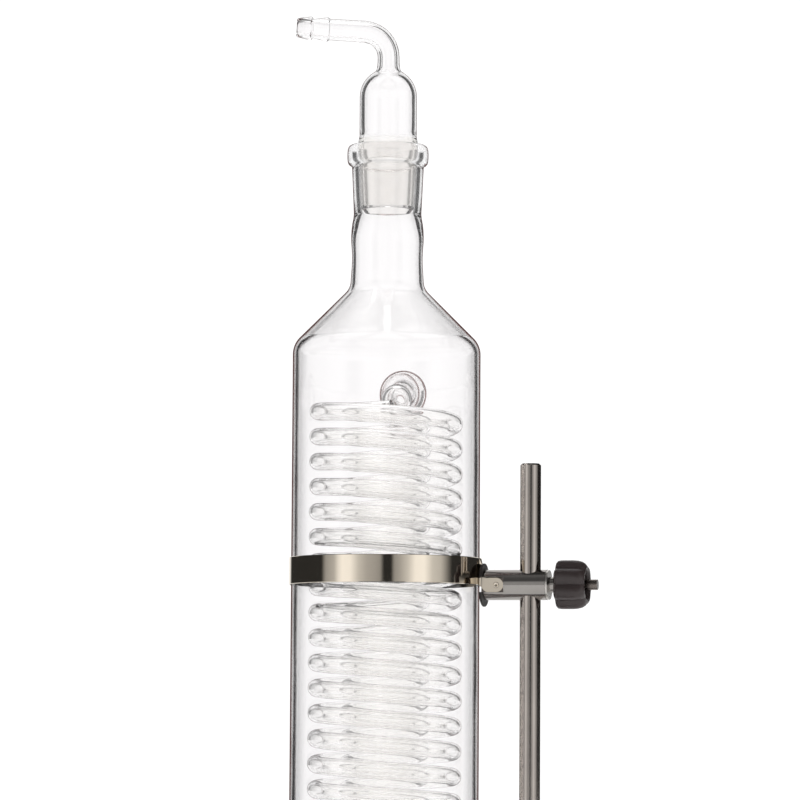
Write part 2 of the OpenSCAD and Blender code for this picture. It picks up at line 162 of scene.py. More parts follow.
def drive(tree, texture, low, high, socket, span=(0.3, 0.7)):
    """A noise texture moves a socket between two colours."""
    levels = ramp(tree, [(span[0], low), (span[1], high)])
    tree.links.new(texture.outputs["Fac"], levels.inputs["Fac"])
    tree.links.new(levels.outputs["Color"], socket)


def finish_shader(tree, shader):
    output = add(tree, "ShaderNodeOutputMaterial")
    tree.links.new(shader, output.inputs["Surface"])


def lift_shadow(tree, shader, shade):
    """The shader casts only a pale shadow, as thin glass does."""
    clear = add(tree, "ShaderNodeBsdfTransparent", inputs={"Color": shade})
    path = add(tree, "ShaderNodeLightPath")
    mix = add(tree, "ShaderNodeMixShader")
    tree.links.new(path.outputs["Is Shadow Ray"], mix.inputs["Fac"])
    tree.links.new(shader, mix.inputs[1])
    tree.links.new(clear.outputs["BSDF"], mix.inputs[2])
    return mix.outputs["Shader"]


# ---------- materials ----------

GLASS_IOR = 1.473
SLEEVE_IOR = 1.12
# Painted shade for the glass: the dark see-through tint that grazing edges fade into, standing in for the dark
# reflections at a glass rim, and the width of that fade.
PAINTED_EDGE_SHADE = (0.30, 0.21, 0.20, 1)
PAINTED_EDGE_SHADE_WIDTH = 0.14


def glass(name, tint=(0.993, 0.986, 0.988), deep=(0.985, 0.977, 0.98), wave=0.25, wave_scale=45.0, rim=0.72):
    """Clear borosilicate: slow waves from the blowing, a drifting hint of tint, and painted shade that darkens
    the glass towards its grazing edge, starting at the facing value rim.
    """
    material, tree = new_material(name)
    facts = {"Transmission Weight": 1.0, "IOR": GLASS_IOR, "Roughness": 0.0}
    body = add(tree, "ShaderNodeBsdfPrincipled", inputs=facts)
    waves = object_noise(tree, wave_scale, 2.0, (1, 1, 0.35))
    drive(tree, waves, (*tint, 1), (*deep, 1), body.inputs["Base Color"], (0.35, 0.65))
    bump = bump_from(tree, waves, wave, 0.4 * MM)
    tree.links.new(bump.outputs["Normal"], body.inputs["Normal"])
    # Painted shade: by facing angle, a dark see-through tint is mixed in towards the grazing edge.
    edge = add(tree, "ShaderNodeBsdfTransparent", inputs={"Color": PAINTED_EDGE_SHADE})
    grazing = add(tree, "ShaderNodeLayerWeight")
    band = ramp(tree, [(rim, grey(0.0)), (min(1.0, rim + PAINTED_EDGE_SHADE_WIDTH), grey(1.0))])
    tree.links.new(grazing.outputs["Facing"], band.inputs["Fac"])
    wall = add(tree, "ShaderNodeMixShader")
    tree.links.new(band.outputs["Color"], wall.inputs["Fac"])
    tree.links.new(body.outputs["BSDF"], wall.inputs[1])
    tree.links.new(edge.outputs["BSDF"], wall.inputs[2])
    finish_shader(tree, lift_shadow(tree, wall.outputs["Shader"], (0.95, 0.945, 0.945, 1)))
    return material


def ground_glass(name, rough=0.07, spread=0.03):
    """Glass with a ground surface: a fine pitted skin that scatters what is behind it."""
    material, tree = new_material(name)
    body = add(tree, "ShaderNodeBsdfPrincipled", inputs={"Transmission Weight": 1.0, "IOR": GLASS_IOR})
    pits = object_noise(tree, 2600.0, 2.0)
    streaks = object_noise(tree, 160.0, 3.0, (1, 1, 7))
    drive(tree, streaks, grey(rough - spread), grey(rough + spread), body.inputs["Roughness"])
    drive(tree, streaks, (0.985, 0.978, 0.97, 1), (1.0, 0.996, 0.99, 1), body.inputs["Base Color"])
    bump = bump_from(tree, pits, 0.12, 0.05 * MM)
    tree.links.new(bump.outputs["Normal"], body.inputs["Normal"])
    finish_shader(tree, lift_shadow(tree, body.outputs["BSDF"], grey(0.8)))
    return material


def metal(name, light, dark, rough, grain_scale, stretch, grain):
    """Bare or plated metal: drawn or turned grain, with colour and polish that drift in patches."""
    material, tree = new_material(name)
    body = add(tree, "ShaderNodeBsdfPrincipled", inputs={"Metallic": 1.0})
    patches = object_noise(tree, 35.0, 4.0)
    drive(tree, patches, (*dark, 1), (*light, 1), body.inputs["Base Color"])
    lines = object_noise(tree, grain_scale, 3.0, stretch)
    drive(tree, lines, grey(rough * 0.8), grey(rough * 1.25), body.inputs["Roughness"])
    bump = bump_from(tree, lines, grain, 0.05 * MM)
    tree.links.new(bump.outputs["Normal"], body.inputs["Normal"])
    finish_shader(tree, body.outputs["BSDF"])
    return material


def solid(name, light, dark, rough, scale=300.0, bump_strength=0.2, bump_depth=0.1, coat=0.0):
    """Plastic, rubber or enamel: mottled colour and a fine moulded or sprayed surface."""
    material, tree = new_material(name)
    body = add(tree, "ShaderNodeBsdfPrincipled", inputs={"Coat Weight": coat, "Coat Roughness": 0.15})
    patches = object_noise(tree, 30.0, 4.0)
    drive(tree, patches, (*dark, 1), (*light, 1), body.inputs["Base Color"])
    fine = object_noise(tree, scale, 3.0)
    drive(tree, fine, grey(rough * 0.85), grey(min(1.0, rough * 1.15)), body.inputs["Roughness"])
    bump = bump_from(tree, fine, bump_strength, bump_depth * MM)
    tree.links.new(bump.outputs["Normal"], body.inputs["Normal"])
    finish_shader(tree, body.outputs["BSDF"])
    return material


def translucent_plastic(name):
    """Thin milky plastic that lets light through."""
    material, tree = new_material(name)
    body = add(tree, "ShaderNodeBsdfPrincipled", inputs={"Transmission Weight": 0.97, "IOR": SLEEVE_IOR})
    haze = object_noise(tree, 220.0, 3.0)
    drive(tree, haze, (0.985, 0.978, 0.965, 1), (1.0, 0.996, 0.988, 1), body.inputs["Base Color"])
    drive(tree, haze, grey(0.05), grey(0.09), body.inputs["Roughness"])
    finish_shader(tree, body.outputs["BSDF"])
    return material


BODY_GLASS = glass("body_glass")
COIL_GLASS = glass("coil_glass", (1.0, 0.999, 0.995), (0.998, 0.995, 0.989), 0.2, 90.0, 0.86)
ADAPTER_GLASS = glass("adapter_glass", wave=0.3, wave_scale=80.0, rim=0.74)
GROUND = ground_glass("ground_glass")
SLEEVE_PLASTIC = translucent_plastic("sleeve_plastic")
ROD_STEEL = metal("rod_steel", (0.45, 0.41, 0.375), (0.37, 0.335, 0.31), 0.12, 1400.0, (1, 1, 0.02), 0.02)
BAND_STEEL = metal("band_steel", (0.82, 0.74, 0.62), (0.74, 0.66, 0.55), 0.06, 700.0, (1, 1, 14), 0.03)
CLAMP_STEEL = metal("clamp_steel", (0.37, 0.35, 0.33), (0.29, 0.275, 0.26), 0.12, 500.0, (1, 1, 1), 0.04)
BOLT_STEEL = metal("bolt_steel", (0.20, 0.175, 0.16), (0.14, 0.12, 0.11), 0.25, 500.0, (1, 1, 1), 0.05)
ZINC = metal("zinc_steel", (0.62, 0.60, 0.56), (0.50, 0.48, 0.45), 0.30, 600.0, (1, 1, 1), 0.10)
KNOB_PLASTIC = solid("knob_plastic", (0.036, 0.024, 0.0235), (0.024, 0.016, 0.0155), 0.38, 900.0, 0.15, 0.05)
BLACK_FIBRE = solid("black_fibre", (0.022, 0.018, 0.016), (0.010, 0.008, 0.008), 0.55, 700.0)
RUBBER = solid("rubber", (0.035, 0.035, 0.036), (0.018, 0.018, 0.019), 0.75, 1200.0, 0.35, 0.1)
ENAMEL = solid("base_enamel", (0.13, 0.135, 0.145), (0.085, 0.09, 0.10), 0.42, 210.0, 0.5, 0.35, coat=0.35)


# ---------- mesh helpers ----------

def make_object(name, mesh, materials):
    obj = bpy.data.objects.new(name, mesh)
    bpy.context.scene.collection.objects.link(obj)
    for material in materials:
        mesh.materials.append(material)
    return obj


def finish_mesh(bm, name, materials, smooth=True):
    bmesh.ops.recalc_face_normals(bm, faces=bm.faces)
    mesh = bpy.data.meshes.new(name)
    bm.to_mesh(mesh)
    bm.free()
    if smooth:
        mesh.shade_smooth()
    return make_object(name, mesh, materials)


def skin(bm, loops):
    """Quads between each loop of vertices and the next."""
    for one, two in zip(loops, loops[1:]):
        for i in range(len(one)):
            j = (i + 1) % len(one)
            bm.faces.new((one[i], one[j], two[j], two[i]))


def ring_body(name, rings, sides, materials, round_trip=True):
    """A body through rings of (centre, u, v, radius); round_trip joins the last ring to the first."""
    bm = bmesh.new()
    loops = []
    for centre, u, v, radius in rings:
        loop = []
        for i in range(sides):
            a = TURN * i / sides
            loop.append(bm.verts.new(centre + (u * math.cos(a) + v * math.sin(a)) * radius))
        loops.append(loop)
    skin(bm, loops + loops[:1] if round_trip else loops)
    return finish_mesh(bm, name, materials)


def rounded(points, keep=0.25):
    """Cuts the corners of a closed outline, as flame polishing rounds glass."""
    cut = []
    for a, b in zip(points, points[1:] + points[:1]):
        cut.append((a[0] + (b[0] - a[0]) * keep, a[1] + (b[1] - a[1]) * keep))
        cut.append((a[0] + (b[0] - a[0]) * (1 - keep), a[1] + (b[1] - a[1]) * (1 - keep)))
    return cut


def arc(cx, cz, r, a0, a1):
    """Points of an arc, angles in degrees."""
    steps = 10
    points = []
    for i in range(steps + 1):
        a = math.radians(a0 + (a1 - a0) * i / steps)
        points.append((cx + r * math.cos(a), cz + r * math.sin(a)))
    return points


def lathe(name, outline, centre, materials, sides=160, axis="Z"):
    """Turns a closed outline of (radius, height) about a vertical axis, or about +Y."""
    u, v, w = {
        "Z": (Vector((1, 0, 0)), Vector((0, 1, 0)), Vector((0, 0, 1))),
        "Y": (Vector((1, 0, 0)), Vector((0, 0, 1)), Vector((0, 1, 0))),
    }[axis]
    rings = [(centre + w * h, u, v, max(r, 1e-6)) for r, h in outline]
    return ring_body(name, rings, sides, materials)


def paint(obj, rule):
    """Gives each face the material slot that rule(centre) says."""
    for polygon in obj.data.polygons:
        polygon.material_index = rule(polygon.center)


def soften(obj, degrees):
    """Keeps edges sharper than an angle crisp on a smooth-shaded mesh."""
    obj.data.set_sharp_from_angle(angle=math.radians(degrees))


# ---------- jacket, neck and drip cone: one fused glass body ----------

CORNER_R = 11 * MM
FILLET_R = 8.5 * MM
NECK_R = 17.5 * MM
JOINT_L = 32 * MM
JOINT_BIG_R = 14.6 * MM
JOINT_SMALL_R = 13 * MM
JOINT_LOW_Z = RIM_Z - JOINT_L
CONE_TOP_Z = 240 * MM
CONE_END_Z = CONE_TOP_Z - JOINT_L


def bore_r(z):
    """Radius of the socket's ground bore at a height."""
    return JOINT_SMALL_R + (z - JOINT_LOW_Z) * (JOINT_BIG_R - JOINT_SMALL_R) / JOINT_L


def shell_side(off, top_corner_z, low_corner_z):
    """The jacket's outline, moved in by off, from its lower neck up to its upper neck."""
    inner = JACKET_R - CORNER_R
    points = arc(NECK_R + FILLET_R, OUTLET_Z, FILLET_R + off, 180, 135)
    points += arc(inner, low_corner_z, CORNER_R - off, -45, 0)
    points += arc(inner, top_corner_z, CORNER_R - off, 0, 45)
    points += arc(NECK_R + FILLET_R, NECK_Z, FILLET_R + off, 225, 180)
    return points


def make_glass_body():
    corner = CORNER_R * math.sin(math.radians(45))
    corner_in = CORNER_R * (1 - math.cos(math.radians(45)))
    fillet_rise = FILLET_R * math.sin(math.radians(45))
    fillet_out = FILLET_R * (1 - math.cos(math.radians(45)))
    rise = corner + JACKET_R - corner_in - NECK_R - fillet_out + fillet_rise
    top_z = NECK_Z - rise
    low_z = OUTLET_Z + rise
    bead_z = RIM_Z - 10 * MM
    neck = [
        (16.9 * MM, NECK_Z + 9 * MM),
        (17.0 * MM, NECK_Z + 14 * MM),
        (17.5 * MM, NECK_Z + 20 * MM),
        (17.2 * MM, NECK_Z + 26 * MM),
        (16.2 * MM, JOINT_LOW_Z - 2 * MM),
        (16.3 * MM, JOINT_LOW_Z + 1 * MM),
        (bore_r(bead_z) + 3.1 * MM, bead_z - 1 * MM),
        (bore_r(bead_z) + 3.3 * MM, bead_z),
        (18.9 * MM, bead_z + 0.8 * MM),
        (19.5 * MM, bead_z + 2.5 * MM),
        (19.5 * MM, RIM_Z - 2.5 * MM),
        (18.9 * MM, RIM_Z - 0.7 * MM),
        (17.8 * MM, RIM_Z),
    ]
    socket = [
        (JOINT_BIG_R + 0.1 * MM, RIM_Z),
        (bore_r(RIM_Z - 1 * MM), RIM_Z - 1 * MM),
        (bore_r(JOINT_LOW_Z), JOINT_LOW_Z),
        (13.6 * MM, JOINT_LOW_Z - 2.5 * MM),
        (15.4 * MM, NECK_Z + 24 * MM),
        (15.9 * MM, NECK_Z + 19 * MM),
        (15.4 * MM, NECK_Z + 10 * MM),
    ]
    drip_out = [
        (4.2 * MM, TIP_Z),
        (6 * MM, TIP_Z),
        (6 * MM, CONE_END_Z - 8 * MM),
        (6.4 * MM, CONE_END_Z - 6 * MM),
        (JOINT_SMALL_R - 0.6 * MM, CONE_END_Z - 0.5 * MM),
        (JOINT_SMALL_R, CONE_END_Z + 0.4 * MM),
        (JOINT_BIG_R, CONE_TOP_Z),
        (JOINT_BIG_R + 0.5 * MM, CONE_TOP_Z + 3 * MM),
        (JOINT_BIG_R + 1.4 * MM, OUTLET_Z - 7 * MM),
        (NECK_R - 0.1 * MM, OUTLET_Z - 1.5 * MM),
    ]
    drip_in = [
        (14.9 * MM, OUTLET_Z - 2 * MM),
        (12.3 * MM, OUTLET_Z - 9 * MM),
        (11.8 * MM, CONE_TOP_Z),
        (10.9 * MM, CONE_END_Z + 2 * MM),
        (4.6 * MM, CONE_END_Z - 5.5 * MM),
        (4 * MM, CONE_END_Z - 7.5 * MM),
        (4 * MM, TIP_Z + 0.2 * MM),
    ]
    outline = drip_out + shell_side(0, top_z, low_z) + neck
    outline += socket + shell_side(WALL, top_z, low_z)[::-1] + drip_in
    body = lathe("glass_body", rounded(outline), VESSEL, [BODY_GLASS, GROUND], 192)

    def ground(centre):
        r = math.hypot(centre.x - VESSEL.x, centre.y - VESSEL.y)
        in_socket = JOINT_LOW_Z < centre.z < RIM_Z - 0.3 * MM and r < bore_r(centre.z) + 0.3 * MM
        on_cone = CONE_END_Z < centre.z < CONE_TOP_Z and r > JOINT_SMALL_R - 0.6 * MM
        return 1 if in_socket or on_cone else 0

    paint(body, ground)
    for vertex in body.data.vertices:
        near_tip = max(0.0, 1 - (vertex.co.z - TIP_Z) / (14 * MM))
        across = vertex.co.x - VESSEL.x + 6 * MM
        vertex.co.z += near_tip ** 2 * across * 0.6
    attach(body, "condenser")
    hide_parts("jacket", "neck_socket", "drip_cone")


make_glass_body()


# ---------- coils ----------

TUBE_R = 4.1 * MM
TUBE_BORE_R = 3.1 * MM
PITCH = 12 * MM
COIL_TURNS = 26
COIL_FIRST_LEFT_Z = 634.5 * MM
STEPS_PER_TURN = 72


def coil_rings(radius, lead, tube, seed):
    """Rings of a left-handed coil, from the back at the top to the back at the bottom."""
    rings = []
    start, end = lead, 180 + 360 * COIL_TURNS + 180 + lead
    count = int((end - start) / 360 * STEPS_PER_TURN)
    for i in range(count + 1):
        degrees = start + (end - start) * i / count
        a = math.radians(degrees)
        wobble = noise.noise(Vector((seed, degrees / 170, 0)))
        r = radius + 0.10 * MM * noise.noise(Vector((seed, degrees / 130, 7)))
        z = COIL_FIRST_LEFT_Z - PITCH * (degrees - 180) / 360 + 0.12 * MM * wobble
        out = Vector((math.cos(a), math.sin(a), 0))
        along = Vector((-math.sin(a), math.cos(a), -PITCH / TURN / radius)).normalized()
        rings.append((VESSEL + out * r + Vector((0, 0, z)), out, along.cross(out), tube))
    return rings


def make_coil(name, node, radius, lead, seed):
    outer = coil_rings(radius, lead, TUBE_R, seed)
    bore = coil_rings(radius, lead, TUBE_BORE_R, seed)[::-1]
    coil = ring_body(name, outer + bore, 20, [COIL_GLASS])
    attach(coil, "condenser")
    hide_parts(node)


OUTER_COIL_R = (COIL_HI.x - COIL_LO.x) / 2 - TUBE_R
INNER_COIL_R = (INNER_HI.x - INNER_LO.x) / 2 - TUBE_R
make_coil("coil_outer", "outer_coil", OUTER_COIL_R, 82, 1.5)
make_coil("coil_inner", "inner_coil", INNER_COIL_R, 80, 8.5)


# ---------- coolant ports: bulb, pipe through the wall, seal and hose barbs ----------

STEM_R = 4.6 * MM
BARB_R = 5.8 * MM
BARB_L = 7.2 * MM
WAIST_L = 0.8 * MM
PIPE_R = 5.4 * MM
BORE_R = 3.4 * MM
PORT_SHIFT = 8.2 * MM
BULB_SHIFT = 5 * MM
BULB_R = 7.5 * MM
BULB_BORE_R = 6 * MM
BEND_L = 12 * MM
NECKED_R = 6.45 * MM
NECKED_BORE_R = 5 * MM
BULB_STEPS = 8
SEAL_SIDES = 64
# The seal's flare: radius about the pipe, and how far it stands off the jacket, in millimetres
SEAL_PROFILE = [(6.7, 7.0), (7.2, 5.2), (8.6, 3.4), (10.4, 1.9), (11.8, 0.5), (11.4, 0.15), (6.7, 0.15)]
SEAL_BLEND = 6.0


def barb_radii(root):
    """(distance from the tip, radius) of two barbs, from the tip back to the plain pipe of radius root."""
    return [
        (0.0, STEM_R - 0.5 * MM),
        (0.4 * MM, STEM_R),
        (BARB_L - 0.8 * MM, BARB_R - 0.1 * MM),
        (BARB_L - 0.1 * MM, BARB_R - 0.15 * MM),
        (BARB_L + 0.5 * MM, STEM_R + 0.15 * MM),
        (BARB_L + WAIST_L, STEM_R),
        (2 * BARB_L + WAIST_L - 0.8 * MM, BARB_R),
        (2 * BARB_L + WAIST_L - 0.1 * MM, BARB_R - 0.1 * MM),
        (2 * BARB_L + WAIST_L + 0.6 * MM, root),
    ]


def make_port(name, manifold, nozzle, port_lo, port_hi, bulb_dz):
    """A hollow bulb at the coil ends, whose pipe bends back through the wall to its nozzle."""
    x = VESSEL.x + PORT_SHIFT
    z = (port_lo.z + port_hi.z) / 2
    tip_y = port_hi.y
    man_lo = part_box(manifold)[0]
    bulb_y = man_lo.y + BULB_R
    bulb_x = VESSEL.x + BULB_SHIFT
    side, up = Vector((1, 0, 0)), Vector((0, 0, 1))

    def centre(y):
        s = min(1.0, max(0.0, (y - bulb_y) / BEND_L))
        s = s * s * (3 - 2 * s)
        return Vector((bulb_x + (x - bulb_x) * s, y, z + bulb_dz * (1 - s)))

    outer = []
    for i in range(BULB_STEPS + 1):
        a = math.radians(-89 + 89 * i / BULB_STEPS)
        outer.append((bulb_y + BULB_R * math.sin(a), BULB_R * math.cos(a)))
    outer += [(bulb_y + 3 * MM, 7.3 * MM), (bulb_y + 7 * MM, 6.6 * MM), (bulb_y + BEND_L, NECKED_R)]
    outer += [(VESSEL.y + 49 * MM, NECKED_R), (VESSEL.y + 51.5 * MM, PIPE_R + 0.4 * MM)]
    barbs = barb_radii(PIPE_R)
    outer += [(tip_y - d, r) for d, r in barbs[::-1]]
    inner = [(tip_y - 0.2 * MM, BORE_R + 0.3 * MM), (tip_y - 1 * MM, BORE_R)]
    inner += [(VESSEL.y + 53 * MM, BORE_R), (VESSEL.y + 49 * MM, NECKED_BORE_R)]
    inner.append((bulb_y + BEND_L, NECKED_BORE_R))
    inner += [(bulb_y + 6 * MM, 5.3 * MM), (bulb_y + 2 * MM, 5.9 * MM)]
    for i in range(BULB_STEPS + 1):
        a = math.radians(-89 * i / BULB_STEPS)
        inner.append((bulb_y + BULB_BORE_R * math.sin(a), BULB_BORE_R * math.cos(a)))
    rings = [(centre(y), side, up, r) for y, r in outer + inner]
    port = ring_body(name, rings, 48, [COIL_GLASS], round_trip=False)
    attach(port, "condenser")
    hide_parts(manifold, nozzle)

    bm = bmesh.new()
    loops = []
    for r, stand in SEAL_PROFILE:
        loop = []
        for i in range(SEAL_SIDES):
            a = TURN * i / SEAL_SIDES
            px, pz = x + r * MM * math.cos(a), z + r * MM * math.sin(a)
            wall_y = VESSEL.y + math.sqrt(JACKET_R ** 2 - (px - VESSEL.x) ** 2)
            flat = min(1.0, stand / SEAL_BLEND)
            y = wall_y * (1 - flat) + (VESSEL.y + JACKET_R) * flat + stand * MM
            loop.append(bm.verts.new((px, y, pz)))
        loops.append(loop)
    skin(bm, loops + loops[:1])
    seal = finish_mesh(bm, name + "_seal", [BODY_GLASS])
    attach(seal, "condenser")


make_port("coolant_port_top", "upper_manifold", "outlet_nozzle", PORT_LO, PORT_HI, -4 * MM)
make_port("coolant_port_low", "lower_manifold", "inlet_nozzle", LOW_PORT_LO, LOW_PORT_HI, 4 * MM)


# ---------- adapter: cone, dome and bent vent in one blown piece ----------

DOME_R = 13.75 * MM
DOME_WALL = 2 * MM
SPRING_Z = RIM_Z + 23.7 * MM
BEND_R = 12.5 * MM
NOZZLE_RISE = 3.2
VENT_R = 5.3 * MM
VENT_PIPE_R = 5.1 * MM
BEND_STEPS = 10
NOZZLE_Z = VENT_HI.z - BARB_R
CONE_GAP = 0.4 * MM
COLLAR_Z = RIM_Z + 3 * MM


def make_adapter():
    """Rings climb the outside from the cone to the nozzle's tip, then return down the bore."""
    side = Vector((0, 1, 0))
    bend_z = NOZZLE_Z - BEND_R + 0.6 * MM
    tip_x = VENT_LO.x - 1 * MM

    def straight(r, z):
        return (VESSEL + Vector((0, 0, z)), Vector((1, 0, 0)), side, r)

    def bent(r, degrees):
        a = math.radians(degrees)
        out = Vector((math.cos(a), 0, math.sin(a)))
        centre = VESSEL + Vector((-BEND_R, 0, bend_z)) + out * BEND_R
        return (centre, out, side, r)

    rise = math.radians(NOZZLE_RISE)
    out_end = Vector((math.sin(rise), 0, math.cos(rise)))
    along = Vector((-math.cos(rise), 0, math.sin(rise)))
    end = VESSEL + Vector((-BEND_R, 0, bend_z)) + out_end * BEND_R

    def level(r, x):
        return (end + along * ((end.x - x) / math.cos(rise)), out_end, side, r)

    cone_low = JOINT_LOW_Z + 1 * MM
    outer = [
        straight(bore_r(cone_low) - CONE_GAP - 0.7 * MM, cone_low + 0.1 * MM),
        straight(bore_r(cone_low) - CONE_GAP, cone_low + 0.9 * MM),
        straight(bore_r(RIM_Z) - CONE_GAP, RIM_Z),
        straight(bore_r(RIM_Z) - CONE_GAP, COLLAR_Z),
        straight(bore_r(RIM_Z) - CONE_GAP - 0.25 * MM, COLLAR_Z + 0.7 * MM),
        straight(DOME_R - 0.1 * MM, COLLAR_Z + 1.8 * MM),
    ]
    steps = 7
    for i in range(steps + 1):
        z = COLLAR_Z + 2.5 * MM + (SPRING_Z - COLLAR_Z - 2.5 * MM) * i / steps
        outer.append(straight(DOME_R, z))
    for degrees in range(8, 62, 6):
        a = math.radians(degrees)
        outer.append(straight(DOME_R * math.cos(a), SPRING_Z + DOME_R * math.sin(a)))
    outer += [
        straight(6.35 * MM, SPRING_Z + 12.35 * MM),
        straight(5.75 * MM, SPRING_Z + 13.2 * MM),
        straight(5.45 * MM, SPRING_Z + 14.6 * MM),
        straight(VENT_R, SPRING_Z + 16.6 * MM),
    ]
    for step in range(BEND_STEPS + 1):
        outer.append(bent(VENT_R, (90 - NOZZLE_RISE) * step / BEND_STEPS))
    barbs = barb_radii(VENT_PIPE_R)
    outer += [level(r, tip_x + d) for d, r in barbs[::-1]]
    inner = [level(BORE_R + 0.4 * MM, tip_x + 0.15 * MM), level(BORE_R, tip_x + 1 * MM)]
    inner.append(level(BORE_R, tip_x + 16 * MM))
    for step in range(BEND_STEPS + 1):
        inner.append(bent(BORE_R, (90 - NOZZLE_RISE) * (1 - step / BEND_STEPS)))
    inner += [
        straight(3.5 * MM, SPRING_Z + 14.5 * MM),
        straight(4.1 * MM, SPRING_Z + 12.3 * MM),
        straight(5.4 * MM, SPRING_Z + 10.6 * MM),
    ]
    hollow_r = DOME_R - DOME_WALL
    for degrees in range(56, -1, -7):
        a = math.radians(degrees)
        inner.append(straight(hollow_r * math.cos(a), SPRING_Z + hollow_r * math.sin(a)))
    for i in range(1, steps + 1):
        inner.append(straight(hollow_r, SPRING_Z + (COLLAR_Z + 4 * MM - SPRING_Z) * i / steps))
    inner.append(straight(bore_r(RIM_Z) - CONE_GAP - DOME_WALL, RIM_Z))
    inner.append(straight(bore_r(cone_low) - CONE_GAP - DOME_WALL, cone_low + 0.6 * MM))
    inner.append(straight(bore_r(cone_low) - CONE_GAP - DOME_WALL + 0.5 * MM, cone_low))
    adapter = ring_body("adapter_glass", outer + inner, 96, [ADAPTER_GLASS, GROUND])

    def ground(centre):
        r = math.hypot(centre.x - VESSEL.x, centre.y - VESSEL.y)
        on_cone = cone_low + 0.8 * MM < centre.z < COLLAR_Z and r > bore_r(centre.z) - CONE_GAP - 0.5 * MM
        return 1 if on_cone else 0

    paint(adapter, ground)
    soften(adapter, 38)
    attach(adapter, "adapter")
    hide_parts("adapter_dome", "vent_nozzle")


make_adapter()


# ---------- clamp ----------

BAND_R = JACKET_R + 0.5 * MM
BAND_T = 0.7 * MM
BAND_H = BAND_HI.z - BAND_LO.z
BAND_Z = (BAND_LO.z + BAND_HI.z) / 2
SLIT = 0.8 * MM
TONGUE_H = 7 * MM
TONGUE_END = 58 * MM
DISC_START = 47.9 * MM
DISC_R = 10.3 * MM
RIVET_S = 54.5 * MM


def make_band():
    """The strip runs round the glass and folds out into two tongues beside the bolt."""
    bm = bmesh.new()
    half = BAND_H / 2
    bevel = 0.2 * MM
    fold_r = 1.6 * MM
    start = math.asin((SLIT + fold_r + BAND_T) / BAND_R)
    section = [(0, -half + bevel), (bevel, -half), (BAND_T - bevel, -half), (BAND_T, -half + bevel)]
    section += [(d, -h) for d, h in section[::-1]]
    offset_z = BAND_Z - ARM_Z
    stations = []
    tongue_steps = 16
    for i in range(tongue_steps):
        part = 1 - math.cos(math.pi / 2 * i / (tongue_steps - 1))
        s = TONGUE_END - (TONGUE_END - BAND_R - fold_r - BAND_T) * part
        stations.append((Vector((s, SLIT, 0)), Vector((0, 1, 0)), s))
    for i in range(1, 7):
        a = math.radians(15 * i)
        hub = Vector((BAND_R * math.cos(start) + fold_r + BAND_T, SLIT + BAND_T + fold_r, 0))
        out = Vector((-math.sin(a), -math.cos(a), 0))
        stations.append((hub + out * (fold_r + BAND_T), -out, None))
    around = 150
    for i in range(around + 1):
        a = start + 0.01 + (TURN / 2 - start - 0.01) * i / around
        out = Vector((math.cos(a), math.sin(a), 0))
        stations.append((out * BAND_R, out, None))
    mirrored = [(Vector((p.x, -p.y, 0)), Vector((n.x, -n.y, 0)), s) for p, n, s in stations[:-1]][::-1]
    loops = []
    for point, normal, s in stations + mirrored:
        height = 1.0
        centre_z = offset_z
        if s is not None or point.x > BAND_R + 0.2 * MM:
            reach = max(0.0, min(1.0, (point.x - BAND_R) / (4.5 * MM)))
            ease = reach * reach * (3 - 2 * reach)
            height = 1 + (TONGUE_H / BAND_H - 1) * ease
            centre_z = offset_z * (1 - ease)
            end = TONGUE_END - point.x
            if end < TONGUE_H / 2:
                k = 1 - end / (TONGUE_H / 2)
                height *= max(0.06, math.sqrt(max(0.0, 1 - k * k)))
        loop = []
        for d, h in section:
            loop.append(bm.verts.new(point + normal * d + Vector((0, 0, centre_z + h * height))))
        loops.append(loop)
    skin(bm, loops)
    bm.faces.new(loops[0])
    bm.faces.new(loops[-1][::-1])
    band = finish_mesh(bm, "band_strip", [BAND_STEEL])
    band.data.transform(ARM_FRAME)
    soften(band, 35)
    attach(band, "clamp")
    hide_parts("clamp_band")


def make_knob():
    """A lobed knob: its outline swells between scallops, and its edges roll over."""
    bm = bmesh.new()
    lobes = 7
    sides = 168
    top = 11.75 * MM
    start = 83.7 * MM
    scallop = 2.1 * MM
    # (share of the top radius, millimetres along the axis)
    profile = [(0.30, 0.6), (0.78, 0.0), (0.90, 0.25), (0.975, 1.1), (1.0, 2.6), (1.0, 8.2), (0.985, 10.6),
               (0.94, 12.6), (0.86, 14.0), (0.76, 14.75), (0.66, 14.75), (0.605, 14.3), (0.59, 13.0),
               (0.575, 12.0), (0.30, 11.9)]
    loops = []
    for share, along in profile:
        loop = []
        for i in range(sides):
            a = TURN * i / sides
            wave = 0.5 + 0.5 * math.cos(lobes * a)
            depth = scallop * (1 - wave ** 0.55) * max(0.0, (share - 0.6) / 0.4)
            r = top * share - depth
            loop.append(bm.verts.new((start + along * MM, r * math.cos(a), r * math.sin(a))))
        loops.append(loop)
    skin(bm, loops + loops[:1])
    knob = finish_mesh(bm, "knob_moulding", [KNOB_PLASTIC])
    knob.data.transform(ARM_FRAME)
    soften(knob, 60)
    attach(knob, "clamp_knob")
    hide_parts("knob")


def make_disc():
    """The black disc behind the boss sleeve, notched in front where the band's tongues run out."""
    notch = 3.6 * MM
    back = 1.6 * MM
    steps = 64
    half_gap = math.asin(notch / DISC_R)
    bm = bmesh.new()
    loops = []
    for s, inset in ((0.0, 0.15), (0.15, 0.0), (0.85, 0.0), (1.0, 0.15)):
        x = DISC_START + s * MM
        loop = [bm.verts.new((x, back, -notch)), bm.verts.new((x, back, notch))]
        rim = DISC_R - inset * MM
        for i in range(steps + 1):
            a = half_gap + (TURN - 2 * half_gap) * i / steps
            loop.append(bm.verts.new((x, -rim * math.cos(a), rim * math.sin(a))))
        loops.append(loop)
    skin(bm, loops)
    bm.faces.new(loops[0])
    bm.faces.new(loops[-1][::-1])
    disc = finish_mesh(bm, "sleeve_disc", [BLACK_FIBRE])
    disc.data.transform(ARM_FRAME)
    soften(disc, 40)
    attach(disc, "clamp")
    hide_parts("pad_disc")


